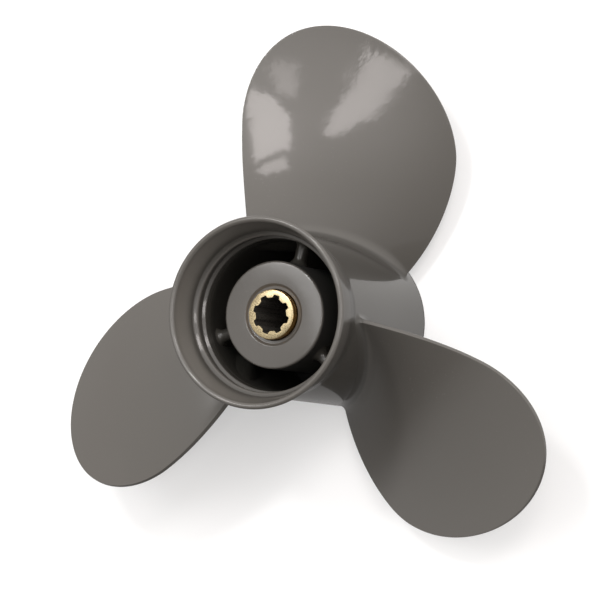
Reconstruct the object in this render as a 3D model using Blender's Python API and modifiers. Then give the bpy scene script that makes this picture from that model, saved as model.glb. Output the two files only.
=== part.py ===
"""Outboard-motor propeller: three right-hand blades on a through-hub exhaust barrel.

The propeller stands on the front rim of its barrel, as it is put down on a bench. Z is its axis, with
the aft end up. Blade 1 points along +Y. Seen from the aft end, angles run clockwise from +Y, which is
the way the propeller turns, so each blade's leading edge is on its clockwise side.
"""

import math

import bmesh
import bpy
from mathutils import Vector

# Driving dimensions, in metres
TIP_RADIUS = 0.1175
PITCH = 0.249
BLADES = 3
BARREL_LENGTH = 0.089
MOUTH_RADIUS = 0.0371
NECK_RADIUS = 0.0321
FRONT_RADIUS = 0.0335
BORE_RADIUS = 0.0296
BOSS_RADIUS = 0.0209
BUSH_RADIUS = 0.0170
SLEEVE_RADIUS = 0.0097
SPLINES = 8
SPLINE_MAJOR_RADIUS = 0.0078
SPLINE_MINOR_RADIUS = 0.0066

# The origin is the centre of mass, this far above the front rim
CENTRE_HEIGHT = 0.0380
AFT_Z = BARREL_LENGTH - CENTRE_HEIGHT

# Depths below the aft rim
NECK_DEPTH = 0.0220
BOSS_DEPTH = 0.0172
BOSS_FRONT_DEPTH = 0.0810
SLEEVE_DEPTH = 0.0148
SLEEVE_FRONT_DEPTH = 0.0825
BUSH_DEPTH = 0.0240
RIB_DEPTH = 0.0260
RIB_FRONT_DEPTH = 0.0780

# Clearance between neighbouring pieces
GAP = 0.0003
ROOT_GAP = 0.0007

# The mouth: a half-round lip, a cone down to a valley, a bead, a shallow groove and the edge of the bore
LIP_SIZE = 0.0011
VALLEY = (0.0322, 0.0098)
BEAD_CENTRE = (0.0313, 0.0127)
BEAD_SIZE = 0.0010
GROOVE_RADIUS = 0.0310
GROOVE_START = 0.0139
GROOVE_END = 0.0170
BORE_DEPTH = 0.0177

# The socket for the gearcase in the barrel's front end, and the draft of the castings
SOCKET_RADIUS = 0.0313
SOCKET_LENGTH = 0.0040
SOCKET_CHAMFER = 0.0010
DRAFT = 0.0003

# The boss, its dished aft wall and the ribs
BOSS_EDGE = 0.0010
DISH_RADIUS = 0.0122
DISH_DEPTH = 0.0008
DISH_CHAMFER = 0.0012
RIB_THICKNESS = 0.0050
RIB_ANGLE = math.radians(10.9)
RIB_EDGE = 0.0012
BUSH_CHAMFER = 0.0010

# Spline teeth: the first one's direction, half their width at the tip, and half the width between them
FIRST_TOOTH = math.radians(98)
TOOTH_HALF = math.radians(9.5)
SPACE_HALF = math.radians(9.0)

# Blades: widths along the arc, measured from the blade's own centre line
ROOT_RADIUS = 0.0330
BLADE_MID_DEPTH = 0.0441
CHORD = 0.0810
CHORD_RADIUS = 0.0834
ROOT_NARROWING = 0.0336
NARROWING_POWER = 1.61
SKEW = 0.0111
SKEW_RADIUS = 0.0776
ROOT_SKEW_LOSS = 0.0042
TIP_SKEW_LOSS = 0.0097
BOW = 0.0031
TIP_RAKE = 0.0045
ROOT_THICKNESS = 0.0076
TIP_THICKNESS = 0.0030
EDGE_THICKNESS = 0.0018
TIP_FLAT = 0.0001

# Facets
TURNED_STEPS = 60
BOSS_STEPS = 48
BLADE_RINGS = 16
BLADE_COLUMNS = 16
ARC_STEPS = 3

# Small steps for slopes on the blade, along the radius and across the chord
RADIUS_STEP = 0.0005
SHARE_STEP = 0.01

# Edges sharper than these are shaded sharp
TURNED_SHARP = math.radians(35)
BLADE_SHARP = math.radians(50)

MERGE = 0.00001

PAINT = (0.150, 0.137, 0.122)
RUBBER = (0.020, 0.020, 0.021)
BRASS = (0.620, 0.470, 0.230)


def material(name, color, roughness, metallic):
    """A Principled material with one colour."""
    made = bpy.data.materials.new(name)
    made.use_nodes = True
    shader = made.node_tree.nodes["Principled BSDF"]
    shader.inputs["Base Color"].default_value = (*color, 1.0)
    shader.inputs["Roughness"].default_value = roughness
    shader.inputs["Metallic"].default_value = metallic
    made.diffuse_color = (*color, 1.0)
    return made


def place(obj, collection, parent, finish):
    """Put an object in its collection, under its parent, with its material."""
    collection.objects.link(obj)
    obj.parent = parent
    obj.data.materials.append(finish)
    return obj


def settle(obj):
    """Replace an object's mesh by its finished, welded and smoothly shaded form."""
    bpy.context.view_layer.update()
    depsgraph = bpy.context.evaluated_depsgraph_get()
    mesh = bpy.data.meshes.new_from_object(obj.evaluated_get(depsgraph))
    mesh.name = obj.name
    mesh.shade_smooth()
    mesh.set_sharp_from_angle(angle=TURNED_SHARP)
    obj.modifiers.clear()
    obj.data = mesh


def turned(name, profile, steps):
    """A ring turned about Z from a closed profile of (radius, depth) points.

    The profile runs down the outer side and back up the inner side.
    """
    mesh = bpy.data.meshes.new(name)
    points = [(radius, 0.0, AFT_Z - depth) for radius, depth in profile]
    edges = [(i, (i + 1) % len(points)) for i in range(len(points))]
    mesh.from_pydata(points, edges, [])
    obj = bpy.data.objects.new(name, mesh)
    screw = obj.modifiers.new("Turn", "SCREW")
    screw.axis = "Z"
    screw.angle = 2 * math.pi
    screw.steps = steps
    screw.render_steps = steps
    screw.use_merge_vertices = True
    screw.merge_threshold = MERGE
    return obj


def arc(centre, radius, start, end, count):
    """Points (radius, depth) on an arc, with angles in degrees from outward towards aft."""
    points = []
    for i in range(count + 1):
        angle = math.radians(start + (end - start) * i / count)
        across = centre[0] + radius * math.cos(angle)
        depth = centre[1] - radius * math.sin(angle)
        points.append((across, depth))
    return points


def barrel_outer_radius(depth):
    """Outer radius of the barrel: a conical flare down to the neck, then a slight widening to the front."""
    if depth < NECK_DEPTH:
        share = max(0.0, (depth - LIP_SIZE) / (NECK_DEPTH - LIP_SIZE))
        return MOUTH_RADIUS + (NECK_RADIUS - MOUTH_RADIUS) * share
    share = (depth - NECK_DEPTH) / (BARREL_LENGTH - NECK_DEPTH)
    return NECK_RADIUS + (FRONT_RADIUS - NECK_RADIUS) * share


def barrel_profile():
    """The barrel's wall: rounded lip, flare and neck outside, bead and groove in the mouth."""
    profile = arc((MOUTH_RADIUS - LIP_SIZE, LIP_SIZE), LIP_SIZE, 180, 0, 2 * ARC_STEPS)
    profile.append((NECK_RADIUS, NECK_DEPTH))
    profile.append((FRONT_RADIUS, BARREL_LENGTH))
    shoulder = BARREL_LENGTH - SOCKET_LENGTH
    bore = BORE_RADIUS + DRAFT
    profile.append((SOCKET_RADIUS, BARREL_LENGTH))
    profile.append((SOCKET_RADIUS, shoulder))
    profile.append((bore, shoulder - SOCKET_CHAMFER))
    profile.append((BORE_RADIUS, BORE_DEPTH))
    profile.append((GROOVE_RADIUS, GROOVE_END))
    profile.append((GROOVE_RADIUS, GROOVE_START))
    profile += arc(BEAD_CENTRE, BEAD_SIZE, 240, 120, ARC_STEPS + 1)
    profile.append(VALLEY)
    return profile


def boss_profile():
    """The boss: a cup with a dished aft wall, open to the front for the rubber bush."""
    profile = arc((BOSS_RADIUS - BOSS_EDGE, BOSS_DEPTH + BOSS_EDGE), BOSS_EDGE, 90, 0, ARC_STEPS)
    bush_bore = BUSH_RADIUS + GAP
    hole = SLEEVE_RADIUS + GAP
    dish_depth = BOSS_DEPTH + DISH_DEPTH
    profile.append((BOSS_RADIUS + DRAFT, BOSS_FRONT_DEPTH))
    profile.append((bush_bore, BOSS_FRONT_DEPTH))
    profile.append((bush_bore, BUSH_DEPTH - GAP))
    profile.append((hole, BUSH_DEPTH - GAP))
    profile.append((hole, dish_depth))
    profile.append((DISH_RADIUS - DISH_CHAMFER, dish_depth))
    profile.append((DISH_RADIUS, BOSS_DEPTH))
    return profile


def bush_profile():
    """The rubber bush: a plain tube between the boss and the sleeve."""
    inner = SLEEVE_RADIUS + GAP
    front = BOSS_FRONT_DEPTH - BUSH_CHAMFER
    profile = [(BUSH_RADIUS - BUSH_CHAMFER, BUSH_DEPTH), (BUSH_RADIUS, BUSH_DEPTH + BUSH_CHAMFER)]
    profile += [(BUSH_RADIUS, front - BUSH_CHAMFER), (BUSH_RADIUS - BUSH_CHAMFER, front)]
    profile += [(inner, front), (inner, BUSH_DEPTH)]
    return profile


def circle_outline(radius, count):
    """Points of a circle, anticlockwise."""
    turns = [2 * math.pi * i / count for i in range(count)]
    return [(radius * math.cos(turn), radius * math.sin(turn)) for turn in turns]


def spline_outline():
    """The splined bore: teeth point inwards."""
    points = []
    for tooth in range(SPLINES):
        middle = FIRST_TOOTH + 2 * math.pi * tooth / SPLINES
        space = middle + math.pi / SPLINES
        corners = [
            (SPLINE_MINOR_RADIUS, middle - TOOTH_HALF),
            (SPLINE_MINOR_RADIUS, middle + TOOTH_HALF),
            (SPLINE_MAJOR_RADIUS, space - SPACE_HALF),
            (SPLINE_MAJOR_RADIUS, space + SPACE_HALF),
        ]
        points += [(r * math.cos(a), r * math.sin(a)) for r, a in corners]
    return points


def sleeve(name):
    """The brass sleeve: a round bar with the splined bore through it."""
    curve = bpy.data.curves.new(name, "CURVE")
    curve.dimensions = "2D"
    curve.fill_mode = "BOTH"
    curve.extrude = (SLEEVE_FRONT_DEPTH - SLEEVE_DEPTH) / 2
    for outline in (circle_outline(SLEEVE_RADIUS, BOSS_STEPS), spline_outline()):
        spline = curve.splines.new("POLY")
        spline.points.add(len(outline) - 1)
        spline.use_cyclic_u = True
        for point, (x, y) in zip(spline.points, outline):
            point.co = (x, y, 0.0, 1.0)
    pattern = bpy.data.objects.new(name, curve)
    bpy.context.scene.collection.objects.link(pattern)
    bpy.context.view_layer.update()
    depsgraph = bpy.context.evaluated_depsgraph_get()
    mesh = bpy.data.meshes.new_from_object(pattern.evaluated_get(depsgraph))
    bpy.data.objects.remove(pattern)
    work = bmesh.new()
    work.from_mesh(mesh)
    bmesh.ops.remove_doubles(work, verts=work.verts, dist=MERGE)
    bmesh.ops.recalc_face_normals(work, faces=work.faces)
    work.to_mesh(mesh)
    work.free()
    mesh.name = name
    obj = bpy.data.objects.new(name, mesh)
    obj.location.z = AFT_Z - (SLEEVE_DEPTH + SLEEVE_FRONT_DEPTH) / 2
    return obj


def rib(name):
    """A rib from the boss to the barrel, along +Y before it is turned to its place."""
    inner = BOSS_RADIUS + 2 * GAP
    outer = BORE_RADIUS - GAP
    length = RIB_FRONT_DEPTH - RIB_DEPTH
    mesh = bpy.data.meshes.new(name)
    work = bmesh.new()
    bmesh.ops.create_cube(work, size=1.0)
    bmesh.ops.scale(work, vec=(RIB_THICKNESS, outer - inner, length), verts=work.verts)
    middle = Vector((0.0, (inner + outer) / 2, AFT_Z - (RIB_DEPTH + RIB_FRONT_DEPTH) / 2))
    bmesh.ops.translate(work, vec=middle, verts=work.verts)
    work.to_mesh(mesh)
    work.free()
    obj = bpy.data.objects.new(name, mesh)
    bevel = obj.modifiers.new("Cast edges", "BEVEL")
    bevel.width = RIB_EDGE
    bevel.segments = 2
    return obj


def chord(radius):
    """Width of the blade along its arc at a radius."""
    if radius < CHORD_RADIUS:
        share = (CHORD_RADIUS - radius) / (CHORD_RADIUS - ROOT_RADIUS)
        return CHORD - ROOT_NARROWING * share**NARROWING_POWER
    share = (radius - CHORD_RADIUS) / (TIP_RADIUS + TIP_FLAT - CHORD_RADIUS)
    return CHORD * math.sqrt(max(0.0, 1.0 - share * share))


def skew(radius):
    """How far the middle of the blade's arc lies clockwise of its centre line."""
    if radius < SKEW_RADIUS:
        share = (SKEW_RADIUS - radius) / (SKEW_RADIUS - ROOT_RADIUS)
        return SKEW - ROOT_SKEW_LOSS * share * share
    share = (radius - SKEW_RADIUS) / (TIP_RADIUS - SKEW_RADIUS)
    return SKEW - TIP_SKEW_LOSS * share * share


def face_point(radius, share):
    """A point of the blade's aft face; share runs from the trailing edge to the leading edge."""
    turn = (skew(radius) + (share - 0.5) * chord(radius)) / radius
    out = (radius - ROOT_RADIUS) / (TIP_RADIUS - ROOT_RADIUS)
    forward = 4 * BOW * out * (1 - out) + TIP_RAKE * out
    z = AFT_Z - BLADE_MID_DEPTH - PITCH * turn / (2 * math.pi) - forward
    return Vector((radius * math.sin(turn), radius * math.cos(turn), z))


def face_normal(radius, share):
    """The aft face's outward direction."""
    along = face_point(radius, share + SHARE_STEP) - face_point(radius, share - SHARE_STEP)
    inward = max(radius - RADIUS_STEP, ROOT_RADIUS)
    outward = face_point(min(radius + RADIUS_STEP, TIP_RADIUS), share) - face_point(inward, share)
    return outward.cross(along).normalized() * -1


def thickness(radius, share):
    """Blade thickness: full at the root and the middle of the chord, thin at the tip and edges."""
    out = (radius - ROOT_RADIUS) / (TIP_RADIUS - ROOT_RADIUS)
    middle = ROOT_THICKNESS + (TIP_THICKNESS - ROOT_THICKNESS) * out
    fullness = 1.0 - (2 * share - 1) ** 4
    return EDGE_THICKNESS + (middle - EDGE_THICKNESS) * fullness


def blade_mesh(name):
    """One blade: a grid for the aft face and one for the forward face, joined round the outline."""
    work = bmesh.new()
    grids = ([], [])
    for ring in range(BLADE_RINGS + 1):
        out = math.sin(math.pi / 2 * ring / BLADE_RINGS)
        radius = ROOT_RADIUS + (TIP_RADIUS - ROOT_RADIUS) * out
        rows = ([], [])
        for column in range(BLADE_COLUMNS + 1):
            share = 0.5 - 0.5 * math.cos(math.pi * column / BLADE_COLUMNS)
            front = face_point(radius, share)
            back = front - face_normal(radius, share) * thickness(radius, share)
            for row, point in zip(rows, (front, back)):
                if ring == 0:
                    seat = barrel_outer_radius(AFT_Z - point.z) + ROOT_GAP
                    point.xy = point.xy.normalized() * seat
                elif point.xy.length > TIP_RADIUS:
                    point.xy = point.xy.normalized() * TIP_RADIUS
                row.append(work.verts.new(point))
        for grid, row in zip(grids, rows):
            grid.append(row)
    for grid in grids:
        for lower, upper in zip(grid, grid[1:]):
            for i in range(BLADE_COLUMNS):
                work.faces.new((lower[i], lower[i + 1], upper[i + 1], upper[i]))
    outlines = []
    for grid in grids:
        trailing = [row[0] for row in grid]
        leading = [row[-1] for row in reversed(grid)]
        outlines.append(trailing + grid[-1][1:-1] + leading + grid[0][-2:0:-1])
    front, back = outlines
    for i in range(len(front)):
        j = (i + 1) % len(front)
        work.faces.new((front[i], front[j], back[j], back[i]))
    bmesh.ops.recalc_face_normals(work, faces=work.faces)
    mesh = bpy.data.meshes.new(name)
    work.to_mesh(mesh)
    work.free()
    mesh.shade_smooth()
    mesh.set_sharp_from_angle(angle=BLADE_SHARP)
    return mesh


def main():
    for obj in list(bpy.data.objects):
        bpy.data.objects.remove(obj, do_unlink=True)
    propeller = bpy.data.collections.new("propeller")
    bpy.context.scene.collection.children.link(propeller)
    axis = bpy.data.objects.new("propeller_axis", None)
    propeller.objects.link(axis)

    paint = material("grey_paint", PAINT, 0.28, 0.0)
    rubber = material("black_rubber", RUBBER, 0.70, 0.0)
    brass = material("brass", BRASS, 0.35, 1.0)

    turned_pieces = (
        ("exhaust_barrel", barrel_profile(), TURNED_STEPS, paint),
        ("inner_boss", boss_profile(), BOSS_STEPS, paint),
        ("rubber_bush", bush_profile(), BOSS_STEPS, rubber),
    )
    for name, profile, steps, finish in turned_pieces:
        settle(place(turned(name, profile, steps), propeller, axis, finish))

    place(sleeve("spline_sleeve"), propeller, axis, brass)

    blade = blade_mesh("blade")
    blade.materials.append(paint)
    for i in range(BLADES):
        turn = -2 * math.pi * i / BLADES
        strut = place(rib(f"rib_{i + 1}"), propeller, axis, paint)
        strut.rotation_euler.z = turn - RIB_ANGLE
        vane = bpy.data.objects.new(f"blade_{i + 1}", blade)
        propeller.objects.link(vane)
        vane.parent = axis
        vane.rotation_euler.z = turn


main()
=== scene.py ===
"""Outboard-motor propeller: its finished surfaces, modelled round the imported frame.

The propeller stands on the front rim of its barrel. Z is its axis, with the aft end up, and blade 1
points along +Y. Lengths are in metres and depths are measured down from the aft rim.
"""

import math

import bmesh
import bpy
from bpy.props import FloatProperty, FloatVectorProperty, IntProperty, PointerProperty
from mathutils import Matrix, Vector


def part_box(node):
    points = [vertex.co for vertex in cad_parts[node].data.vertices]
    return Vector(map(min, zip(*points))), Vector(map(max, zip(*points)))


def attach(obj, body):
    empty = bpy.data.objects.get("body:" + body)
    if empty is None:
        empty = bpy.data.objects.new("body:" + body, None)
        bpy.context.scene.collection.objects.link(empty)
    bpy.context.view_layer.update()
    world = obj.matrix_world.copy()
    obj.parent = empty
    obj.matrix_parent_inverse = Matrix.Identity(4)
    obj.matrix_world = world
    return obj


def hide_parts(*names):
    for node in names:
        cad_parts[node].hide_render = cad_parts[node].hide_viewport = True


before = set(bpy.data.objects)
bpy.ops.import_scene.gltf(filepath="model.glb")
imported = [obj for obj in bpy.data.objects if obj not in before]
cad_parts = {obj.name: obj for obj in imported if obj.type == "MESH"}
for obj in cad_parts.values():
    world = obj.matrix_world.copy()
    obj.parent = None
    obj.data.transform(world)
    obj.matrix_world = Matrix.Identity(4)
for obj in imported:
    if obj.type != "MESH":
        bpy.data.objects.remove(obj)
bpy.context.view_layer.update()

bl_info = {
    "name": "Outboard Propeller",
    "version": (1, 0, 0),
    "blender": (4, 5, 0),
    "location": "View3D > Sidebar > Propeller",
    "description": "Builds a cast outboard propeller with its bush, splined sleeve, paint and studio",
    "category": "Add Mesh",
}

BODY = "root"
BLADES = 3

# The frame's own sizes
BARREL_LOW, BARREL_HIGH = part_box("exhaust_barrel")
BOSS_LOW, BOSS_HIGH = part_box("inner_boss")
SLEEVE_LOW, SLEEVE_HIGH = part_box("spline_sleeve")
BUSH_LOW, BUSH_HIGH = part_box("rubber_bush")
RIB_LOW, RIB_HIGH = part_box("rib_1")
AFT_Z = BARREL_HIGH.z
FRONT_Z = BARREL_LOW.z
MOUTH_RADIUS = BARREL_HIGH.x
SLEEVE_RADIUS = SLEEVE_HIGH.x
BUSH_RADIUS = BUSH_HIGH.x
TIP_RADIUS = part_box("blade_1")[1].y

# How finely round shapes are cut, and how sharp an edge has to be to stay sharp
TURNED_STEPS = 192
CORNER_STEPS = 7
TOOTH_STEPS = 4
FILLET_STEPS = 7
RIB_FILLET_STEPS = 6
RIB_SIDES = 48
SHARP_ANGLE = math.radians(38)

# How far the finished blade's tip stays inside the frame's
TIP_MARGIN = 0.0003


def length_property(name, description, default):
    """A length in metres."""
    return FloatProperty(name=name, description=description, default=default, unit="LENGTH")


def angle_property(name, description, degrees):
    """An angle, from its default in degrees."""
    return FloatProperty(
        name=name, description=description, default=math.radians(degrees), subtype="ANGLE", unit="ROTATION"
    )


def strength_property(name, description, default):
    """A plain number that isn't below zero."""
    return FloatProperty(name=name, description=description, default=default, min=0.0)


def colour_property(name, description, default):
    """A colour."""
    return FloatVectorProperty(
        name=name, description=description, default=default, subtype="COLOR", size=3, min=0.0, max=1.0
    )


class BarrelSizes(bpy.types.PropertyGroup):
    """Sizes of the exhaust barrel."""

    neck_radius: length_property("Neck radius", "Outer radius under the flare", 0.0321)
    front_radius: length_property("Front radius", "Outer radius at the front rim", 0.0335)
    bore_radius: length_property("Bore radius", "Radius of the exhaust passage", 0.0296)
    socket_radius: length_property("Socket radius", "Radius of the socket in the front end", 0.0313)
    neck_depth: length_property("Neck depth", "Depth at which the conical flare ends", 0.0220)
    neck_blend: length_property("Neck blend", "Radius of the curve from the flare to the neck", 0.0200)
    lip_size: length_property("Lip radius", "Radius of the half-round lip", 0.0011)
    valley_radius: length_property("Valley radius", "Inner radius where the mouth meets the bead", 0.0321)
    valley_depth: length_property("Valley depth", "Depth where the mouth meets the bead", 0.0114)
    bead_radius: length_property("Bead radius", "Radius at the bead's crest", 0.0303)
    bead_depth: length_property("Bead depth", "Depth of the bead's upper side", 0.0123)
    bead_size: length_property("Bead rounding", "Rounding of the bead's upper edge", 0.0011)
    groove_radius: length_property("Groove radius", "Radius of the groove under the bead", 0.0310)
    groove_start: length_property("Groove start", "Depth at which the groove starts", 0.0141)
    groove_end: length_property("Groove end", "Depth at which the groove ends", 0.0171)
    bore_depth: length_property("Bore depth", "Depth at which the exhaust passage starts", 0.0177)


class BladeSizes(bpy.types.PropertyGroup):
    """Sizes of the three blades; widths lie along the arc, from the blade's own centre line."""

    pitch: length_property("Pitch", "Advance of the blade's face in one turn", 0.249)
    root_radius: length_property("Root radius", "Radius from which the blade's shape is measured", 0.0330)
    middle_depth: length_property("Middle depth", "Depth of the face on the centre line", 0.0441)
    chord: length_property("Chord", "Greatest width", 0.0810)
    chord_radius: length_property("Chord radius", "Radius of the greatest width", 0.0834)
    narrowing: length_property("Root narrowing", "Width lost at the root", 0.0336)
    narrowing_power: FloatProperty(
        name="Narrowing power", description="How fast the width is lost towards the root", default=1.61
    )
    skew: length_property("Skew", "Middle of the arc, clockwise of the centre line", 0.0111)
    skew_radius: length_property("Skew radius", "Radius of the greatest skew", 0.0776)
    root_skew_loss: length_property("Skew lost at root", "Skew lost at the root", 0.0042)
    tip_skew_loss: length_property("Skew lost at tip", "Skew lost at the tip", 0.0097)
    bow: length_property("Bow", "Forward bow of the blade between root and tip", 0.0031)
    tip_rake: length_property("Tip rake", "Forward rake at the tip", 0.0045)
    root_thickness: length_property("Root thickness", "Thickness at the root's middle", 0.0076)
    tip_thickness: length_property("Tip thickness", "Thickness near the tip's middle", 0.0030)
    edge_thickness: length_property("Edge thickness", "Thickness at the rounded edge", 0.0018)
    edge_rounding: length_property("Edge rounding", "Width of the rounding along each edge", 0.00085)
    fillet: length_property("Root fillet", "Fillet radius at the root's middle", 0.0060)
    end_fillet: length_property("End fillet", "Fillet radius at the blade's two edges", 0.0030)
    columns: IntProperty(name="Columns", description="Columns across the blade", default=26, min=8, max=60)
    rows: IntProperty(name="Rows", description="Rows from root to tip", default=30, min=8, max=80)


class HubSizes(bpy.types.PropertyGroup):
    """Sizes of the boss, its ribs, the bush and the sleeve."""

    boss_radius: length_property("Boss radius", "Radius of the boss at its aft end", 0.0210)
    boss_edge: length_property("Boss edge", "Rounding of the boss's aft edge", 0.0009)
    boss_crown: length_property("Boss crown", "How far the boss's face falls towards its edge", 0.00015)
    dish_radius: length_property("Dish radius", "Radius of the dish round the sleeve", 0.0122)
    dish_depth: length_property("Dish depth", "Depth of the dish below the boss's face", 0.0008)
    draft: length_property("Draft", "Widening of the castings towards the front", 0.0003)
    gap: length_property("Fit", "Clearance between the boss, bush and sleeve", 0.0003)
    rib_thickness: length_property("Rib thickness", "Thickness of a rib", 0.0050)
    rib_fillet: length_property("Rib fillet", "Fillet at both ends of a rib", 0.0030)
    rib_angle: angle_property("Rib angle", "Turn of a rib from its blade's centre line", 10.9)
    spline_major: length_property("Spline major radius", "Radius at the bottom of the spaces", 0.0078)
    spline_minor: length_property("Spline minor radius", "Radius at the teeth", 0.0066)
    splines: IntProperty(name="Splines", description="Number of teeth", default=8, min=3, max=24)
    first_tooth: angle_property("First tooth", "Direction of the first tooth, from +X", 98.0)
    tooth_half: angle_property("Tooth half angle", "Half the width of a tooth", 9.5)
    space_half: angle_property("Space half angle", "Half the width of a space at its bottom", 9.0)
    tooth_rounding: length_property("Tooth rounding", "Rounding of the teeth's corners", 0.0005)
    sleeve_chamfer: length_property("Sleeve chamfer", "Chamfer at the sleeve's ends", 0.0004)


class FinishColours(bpy.types.PropertyGroup):
    """Colours and gloss of the finishes."""

    paint: colour_property("Paint", "Warm grey gloss paint", (0.079, 0.0735, 0.066))
    # Painted light: the paint in the barrel's mouth is brightened to stand in for light on the cone above the
    # valley.
    mouth_light_tone: strength_property("Mouth tone", "Brightness of the paint in the barrel's mouth", 1.45)
    # Painted shade: the boss's paint is a darker copy of the casting's paint.
    boss_shade_tone: strength_property("Boss tone", "Brightness of the boss's paint", 0.9)
    gloss_roughness: strength_property("Gloss roughness", "Least roughness of the gloss paint", 0.06)
    satin_roughness: strength_property("Satin roughness", "Least roughness of the boss's paint", 0.16)
    coat: FloatProperty(
        name="Coat", description="Strength of the soft glow in the paint", default=0.5, min=0.0, max=1.0
    )
    bloom: FloatProperty(
        name="Bloom", description="Roughness of the soft glow round the sharp reflections", default=0.35,
        min=0.0, max=1.0
    )
    dust: colour_property("Dust", "Pale dust on the paint", (0.35, 0.34, 0.32))
    dust_amount: strength_property("Dust amount", "How much of the dust shows", 0.05)
    # Painted shade: the passage colour is near black, standing in for the shade deep in the exhaust passage.
    passage: colour_property("Passage", "Soot-dark paint in the exhaust passage", (0.018, 0.017, 0.014))
    # Painted shade: the mouth's valley and the groove under the bead are darkened with the passage colour.
    mouth_shade: strength_property("Grime", "Soot in the mouth's valley and groove", 0.5)
    rubber: colour_property("Rubber", "Black rubber of the bush", (0.018, 0.018, 0.019))
    rubber_bloom: colour_property("Rubber bloom", "Greyer patches of the rubber", (0.055, 0.055, 0.058))
    brass: colour_property("Brass", "Yellow brass of the sleeve", (0.335, 0.275, 0.165))
    brass_side: colour_property("Brass side", "Deeper gold of the sleeve's side", (0.30, 0.17, 0.045))
    # Painted shade: the splined bore is painted dark and loses its metal, standing in for the shade inside
    # it.
    bore_shade: colour_property("Grease", "Old grease in the splined bore", (0.050, 0.046, 0.040))
    floor: colour_property("Floor", "Pale studio floor", (0.55, 0.55, 0.55))
    glow: strength_property("Floor glow", "Brightness of the floor's own light", 0.71)


class StudioSettings(bpy.types.PropertyGroup):
    """The camera and the lights."""

    lens: FloatProperty(
        name="Lens", description="Focal length in millimetres on a 36 mm sensor", default=180.0
    )
    distance: length_property("Distance", "From the camera to the point it looks at", 1.1938)
    tilt: angle_property("Tilt", "Angle between the view and the propeller's axis", 25.16)
    bearing: angle_property("Bearing", "Side from which the camera looks, from +X", -4.40)
    roll: angle_property("Roll", "Turn of the picture about the view", -81.84)
    aim: FloatVectorProperty(
        name="Aim", description="Point the camera looks at", default=(-0.0050, 0.0075, 0.0), size=3,
        subtype="TRANSLATION", unit="LENGTH"
    )
    sky: strength_property("Sky", "Brightness of the room overhead", 0.90)
    sky_slope: strength_property("Sky slope", "How much brighter the room is on its bright side", 0.88)
    sky_bearing: angle_property("Bright side", "Bearing of the room's bright side, from +X", 60.0)
    dimming: strength_property("Dimming", "How much dimmer the room is opposite blade 1", 0.46)
    side: strength_property("Side", "Extra brightness of the room on the left", 0.95)
    halo: strength_property("Halo", "Extra sky brightness round the panes", 0.5)
    wall: strength_property("Wall", "Brightness of the lit wall below the horizon", 1.05)
    ground: strength_property("Ground", "Brightness of the rest of the room below the horizon", 0.28)
    room_tint: colour_property("Room tint", "Colour of the room's light", (1.0, 0.975, 0.955))
    window: strength_property("Window", "Brightness of the three panes that blade 1 mirrors in a row", 13.5)
    strip: strength_property("Strip light", "Brightness of the wedge-shaped pane", 12.0)
    edge: strength_property("Edge light", "Brightness of the pane that draws light lines along edges", 8.0)
    pane_tint: colour_property("Pane tint", "Colour of the panes' light", (1.0, 0.94, 0.925))
    overhead: strength_property("Overhead", "Brightness of the softbox that the boss mirrors", 3.6)
    key: strength_property("Key", "Brightness of the small lamp overhead", 60.0)


def rounded_outline(corners, steps=CORNER_STEPS):
    """A closed outline through corners (across, up, rounding), each rounding made an arc of short steps."""
    outline = []
    for i, (across, up, rounding) in enumerate(corners):
        corner = Vector((across, up))
        if rounding == 0.0:
            outline.append(corner)
            continue
        before = (Vector(corners[i - 1][:2]) - corner).normalized()
        after = (Vector(corners[(i + 1) % len(corners)][:2]) - corner).normalized()
        half = before.angle(after) / 2
        centre = corner + (before + after).normalized() * rounding / math.sin(half)
        first = corner + before * rounding / math.tan(half) - centre
        last = corner + after * rounding / math.tan(half) - centre
        sweep = math.atan2(first.x * last.y - first.y * last.x, first.dot(last))
        for step in range(steps + 1):
            spoke = first.copy()
            spoke.rotate(Matrix.Rotation(sweep * step / steps, 2))
            outline.append(centre + spoke)
    return outline


def scene_object(name, work, finish):
    """Turn a bmesh into an object of the scene, in one material."""
    mesh = bpy.data.meshes.new(name)
    work.to_mesh(mesh)
    work.free()
    mesh.materials.append(finish)
    made = bpy.data.objects.new(name, mesh)
    bpy.context.scene.collection.objects.link(made)
    return made


def finished(name, work, finish, node):
    """Turn a bmesh into a smooth piece that rides on the frame and stands for its CAD node."""
    piece = scene_object(name, work, finish)
    piece.data.shade_smooth()
    piece.data.set_sharp_from_angle(angle=SHARP_ANGLE)
    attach(piece, BODY)
    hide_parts(node)
    return piece


def add_loop(work, points):
    """Join points into a closed loop of edges."""
    verts = [work.verts.new(point) for point in points]
    return [work.edges.new(pair) for pair in zip(verts, verts[1:] + verts[:1])]


def verts_in(geometry):
    """The vertices among what an operator has made."""
    return [element for element in geometry if isinstance(element, bmesh.types.BMVert)]


def verts_of(edges):
    """The vertices of some edges, each of them once."""
    return set(vert for edge in edges for vert in edge.verts)


def open_edges(edges):
    """Those edges that only one face uses."""
    return [edge for edge in edges if len(edge.link_faces) == 1]


def extrude_loop(work, edges):
    """Extrude a loop of edges and give the new loop."""
    made = bmesh.ops.extrude_edge_only(work, edges=edges)["geom"]
    return open_edges(element for element in made if isinstance(element, bmesh.types.BMEdge))


def soften(work, edges, size, segments):
    """Bevel some edges."""
    bmesh.ops.bevel(
        work, geom=edges, offset=size, offset_type="OFFSET", affect="EDGES", segments=segments, profile=0.5,
        material=-1, clamp_overlap=True
    )


def blade_turn(index):
    """Angle from blade 1 to another blade, clockwise seen from aft."""
    return -2 * math.pi * index / BLADES


def turn_about_axis(work, angle):
    """Turn a bmesh about the propeller's axis."""
    bmesh.ops.rotate(work, cent=(0.0, 0.0, 0.0), matrix=Matrix.Rotation(angle, 3, "Z"), verts=work.verts)


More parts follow.
